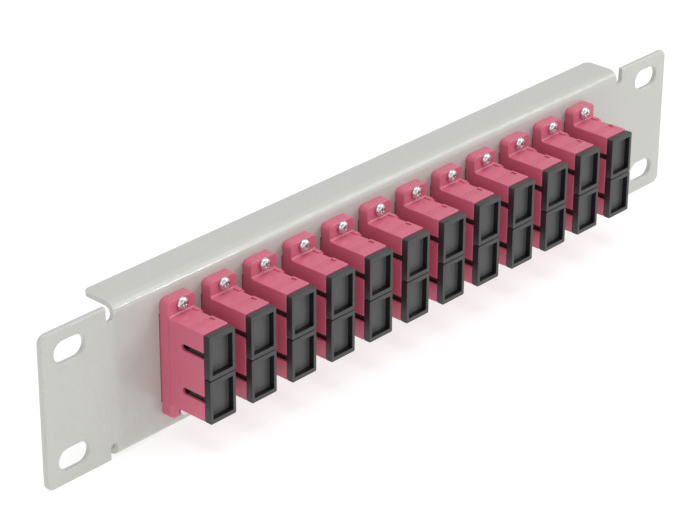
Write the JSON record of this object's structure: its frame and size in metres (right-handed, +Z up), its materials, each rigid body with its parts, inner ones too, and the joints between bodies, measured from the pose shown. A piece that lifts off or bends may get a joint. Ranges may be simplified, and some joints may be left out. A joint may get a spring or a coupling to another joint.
{
  "type": "fibre patch panel",
  "caption": "Folded rack panel that carries a row of duplex fibre adapters with pull-off dust caps on their ports.",
  "frame": {"origin": "centre of the four rack slots, on the back face of the ears", "axes": "+X along the panel to the right seen from the front, -Y to the front, +Z up"},
  "size_m": [0.254, 0.0327, 0.0444],
  "materials": {
    "panel_powder_coat": "fine textured powder coat, satin",
    "adapter_plastic": "moulded, satin",
    "cap_plastic": "moulded, soft matt",
    "screw_steel": "bright zinc plated",
    "holder_plastic": "moulded, natural",
    "sleeve_ceramic": "polished ceramic"
  },
  "bodies": {
    "panel_assembly": {"panel": "panel_powder_coat", "adapter_housing_01": "adapter_plastic", "adapter_housing_02": "adapter_plastic", "adapter_housing_03": "adapter_plastic", "adapter_housing_04": "adapter_plastic", "adapter_housing_05": "adapter_plastic", "adapter_housing_06": "adapter_plastic", "adapter_housing_07": "adapter_plastic", "adapter_housing_08": "adapter_plastic", "adapter_housing_09": "adapter_plastic", "adapter_housing_10": "adapter_plastic", "adapter_housing_11": "adapter_plastic", "adapter_housing_12": "adapter_plastic", "adapter_screws": "screw_steel", "sleeve_holders": "holder_plastic", "split_sleeves": "sleeve_ceramic"},
    "front_cap_01_upper": {"front_cap_01_upper": "cap_plastic"},
    "front_cap_01_lower": {"front_cap_01_lower": "cap_plastic"},
    "front_cap_02_upper": {"front_cap_02_upper": "cap_plastic"},
    "front_cap_02_lower": {"front_cap_02_lower": "cap_plastic"},
    "front_cap_03_upper": {"front_cap_03_upper": "cap_plastic"},
    "front_cap_03_lower": {"front_cap_03_lower": "cap_plastic"},
    "front_cap_04_upper": {"front_cap_04_upper": "cap_plastic"},
    "front_cap_04_lower": {"front_cap_04_lower": "cap_plastic"},
    "front_cap_05_upper": {"front_cap_05_upper": "cap_plastic"},
    "front_cap_05_lower": {"front_cap_05_lower": "cap_plastic"},
    "front_cap_06_upper": {"front_cap_06_upper": "cap_plastic"},
    "front_cap_06_lower": {"front_cap_06_lower": "cap_plastic"},
    "front_cap_07_upper": {"front_cap_07_upper": "cap_plastic"},
    "front_cap_07_lower": {"front_cap_07_lower": "cap_plastic"},
    "front_cap_08_upper": {"front_cap_08_upper": "cap_plastic"},
    "front_cap_08_lower": {"front_cap_08_lower": "cap_plastic"},
    "front_cap_09_upper": {"front_cap_09_upper": "cap_plastic"},
    "front_cap_09_lower": {"front_cap_09_lower": "cap_plastic"},
    "front_cap_10_upper": {"front_cap_10_upper": "cap_plastic"},
    "front_cap_10_lower": {"front_cap_10_lower": "cap_plastic"},
    "front_cap_11_upper": {"front_cap_11_upper": "cap_plastic"},
    "front_cap_11_lower": {"front_cap_11_lower": "cap_plastic"},
    "front_cap_12_upper": {"front_cap_12_upper": "cap_plastic"},
    "front_cap_12_lower": {"front_cap_12_lower": "cap_plastic"},
    "rear_caps_01": {"rear_caps_01": "cap_plastic"},
    "rear_caps_02": {"rear_caps_02": "cap_plastic"},
    "rear_caps_03": {"rear_caps_03": "cap_plastic"},
    "rear_caps_04": {"rear_caps_04": "cap_plastic"},
    "rear_caps_05": {"rear_caps_05": "cap_plastic"},
    "rear_caps_06": {"rear_caps_06": "cap_plastic"},
    "rear_caps_07": {"rear_caps_07": "cap_plastic"},
    "rear_caps_08": {"rear_caps_08": "cap_plastic"},
    "rear_caps_09": {"rear_caps_09": "cap_plastic"},
    "rear_caps_10": {"rear_caps_10": "cap_plastic"},
    "rear_caps_11": {"rear_caps_11": "cap_plastic"},
    "rear_caps_12": {"rear_caps_12": "cap_plastic"}
  },
  "joints": [
    {"name": "front_cap_01_upper_slide", "type": "slide", "parent": "panel_assembly", "child": "front_cap_01_upper", "axis": [0, -1, 0], "range_m": [0, 0.015]},
    {"name": "front_cap_01_lower_slide", "type": "slide", "parent": "panel_assembly", "child": "front_cap_01_lower", "axis": [0, -1, 0], "range_m": [0, 0.015]},
    {"name": "front_cap_02_upper_slide", "type": "slide", "parent": "panel_assembly", "child": "front_cap_02_upper", "axis": [0, -1, 0], "range_m": [0, 0.015]},
    {"name": "front_cap_02_lower_slide", "type": "slide", "parent": "panel_assembly", "child": "front_cap_02_lower", "axis": [0, -1, 0], "range_m": [0, 0.015]},
    {"name": "front_cap_03_upper_slide", "type": "slide", "parent": "panel_assembly", "child": "front_cap_03_upper", "axis": [0, -1, 0], "range_m": [0, 0.015]},
    {"name": "front_cap_03_lower_slide", "type": "slide", "parent": "panel_assembly", "child": "front_cap_03_lower", "axis": [0, -1, 0], "range_m": [0, 0.015]},
    {"name": "front_cap_04_upper_slide", "type": "slide", "parent": "panel_assembly", "child": "front_cap_04_upper", "axis": [0, -1, 0], "range_m": [0, 0.015]},
    {"name": "front_cap_04_lower_slide", "type": "slide", "parent": "panel_assembly", "child": "front_cap_04_lower", "axis": [0, -1, 0], "range_m": [0, 0.015]},
    {"name": "front_cap_05_upper_slide", "type": "slide", "parent": "panel_assembly", "child": "front_cap_05_upper", "axis": [0, -1, 0], "range_m": [0, 0.015]},
    {"name": "front_cap_05_lower_slide", "type": "slide", "parent": "panel_assembly", "child": "front_cap_05_lower", "axis": [0, -1, 0], "range_m": [0, 0.015]},
    {"name": "front_cap_06_upper_slide", "type": "slide", "parent": "panel_assembly", "child": "front_cap_06_upper", "axis": [0, -1, 0], "range_m": [0, 0.015]},
    {"name": "front_cap_06_lower_slide", "type": "slide", "parent": "panel_assembly", "child": "front_cap_06_lower", "axis": [0, -1, 0], "range_m": [0, 0.015]},
    {"name": "front_cap_07_upper_slide", "type": "slide", "parent": "panel_assembly", "child": "front_cap_07_upper", "axis": [0, -1, 0], "range_m": [0, 0.015]},
    {"name": "front_cap_07_lower_slide", "type": "slide", "parent": "panel_assembly", "child": "front_cap_07_lower", "axis": [0, -1, 0], "range_m": [0, 0.015]},
    {"name": "front_cap_08_upper_slide", "type": "slide", "parent": "panel_assembly", "child": "front_cap_08_upper", "axis": [0, -1, 0], "range_m": [0, 0.015]},
    {"name": "front_cap_08_lower_slide", "type": "slide", "parent": "panel_assembly", "child": "front_cap_08_lower", "axis": [0, -1, 0], "range_m": [0, 0.015]},
    {"name": "front_cap_09_upper_slide", "type": "slide", "parent": "panel_assembly", "child": "front_cap_09_upper", "axis": [0, -1, 0], "range_m": [0, 0.015]},
    {"name": "front_cap_09_lower_slide", "type": "slide", "parent": "panel_assembly", "child": "front_cap_09_lower", "axis": [0, -1, 0], "range_m": [0, 0.015]},
    {"name": "front_cap_10_upper_slide", "type": "slide", "parent": "panel_assembly", "child": "front_cap_10_upper", "axis": [0, -1, 0], "range_m": [0, 0.015]},
    {"name": "front_cap_10_lower_slide", "type": "slide", "parent": "panel_assembly", "child": "front_cap_10_lower", "axis": [0, -1, 0], "range_m": [0, 0.015]},
    {"name": "front_cap_11_upper_slide", "type": "slide", "parent": "panel_assembly", "child": "front_cap_11_upper", "axis": [0, -1, 0], "range_m": [0, 0.015]},
    {"name": "front_cap_11_lower_slide", "type": "slide", "parent": "panel_assembly", "child": "front_cap_11_lower", "axis": [0, -1, 0], "range_m": [0, 0.015]},
    {"name": "front_cap_12_upper_slide", "type": "slide", "parent": "panel_assembly", "child": "front_cap_12_upper", "axis": [0, -1, 0], "range_m": [0, 0.015]},
    {"name": "front_cap_12_lower_slide", "type": "slide", "parent": "panel_assembly", "child": "front_cap_12_lower", "axis": [0, -1, 0], "range_m": [0, 0.015]},
    {"name": "rear_caps_01_slide", "type": "slide", "parent": "panel_assembly", "child": "rear_caps_01", "axis": [0, 1, 0], "range_m": [0, 0.015]},
    {"name": "rear_caps_02_slide", "type": "slide", "parent": "panel_assembly", "child": "rear_caps_02", "axis": [0, 1, 0], "range_m": [0, 0.015]},
    {"name": "rear_caps_03_slide", "type": "slide", "parent": "panel_assembly", "child": "rear_caps_03", "axis": [0, 1, 0], "range_m": [0, 0.015]},
    {"name": "rear_caps_04_slide", "type": "slide", "parent": "panel_assembly", "child": "rear_caps_04", "axis": [0, 1, 0], "range_m": [0, 0.015]},
    {"name": "rear_caps_05_slide", "type": "slide", "parent": "panel_assembly", "child": "rear_caps_05", "axis": [0, 1, 0], "range_m": [0, 0.015]},
    {"name": "rear_caps_06_slide", "type": "slide", "parent": "panel_assembly", "child": "rear_caps_06", "axis": [0, 1, 0], "range_m": [0, 0.015]},
    {"name": "rear_caps_07_slide", "type": "slide", "parent": "panel_assembly", "child": "rear_caps_07", "axis": [0, 1, 0], "range_m": [0, 0.015]},
    {"name": "rear_caps_08_slide", "type": "slide", "parent": "panel_assembly", "child": "rear_caps_08", "axis": [0, 1, 0], "range_m": [0, 0.015]},
    {"name": "rear_caps_09_slide", "type": "slide", "parent": "panel_assembly", "child": "rear_caps_09", "axis": [0, 1, 0], "range_m": [0, 0.015]},
    {"name": "rear_caps_10_slide", "type": "slide", "parent": "panel_assembly", "child": "rear_caps_10", "axis": [0, 1, 0], "range_m": [0, 0.015]},
    {"name": "rear_caps_11_slide", "type": "slide", "parent": "panel_assembly", "child": "rear_caps_11", "axis": [0, 1, 0], "range_m": [0, 0.015]},
    {"name": "rear_caps_12_slide", "type": "slide", "parent": "panel_assembly", "child": "rear_caps_12", "axis": [0, 1, 0], "range_m": [0, 0.015]}
  ]
}
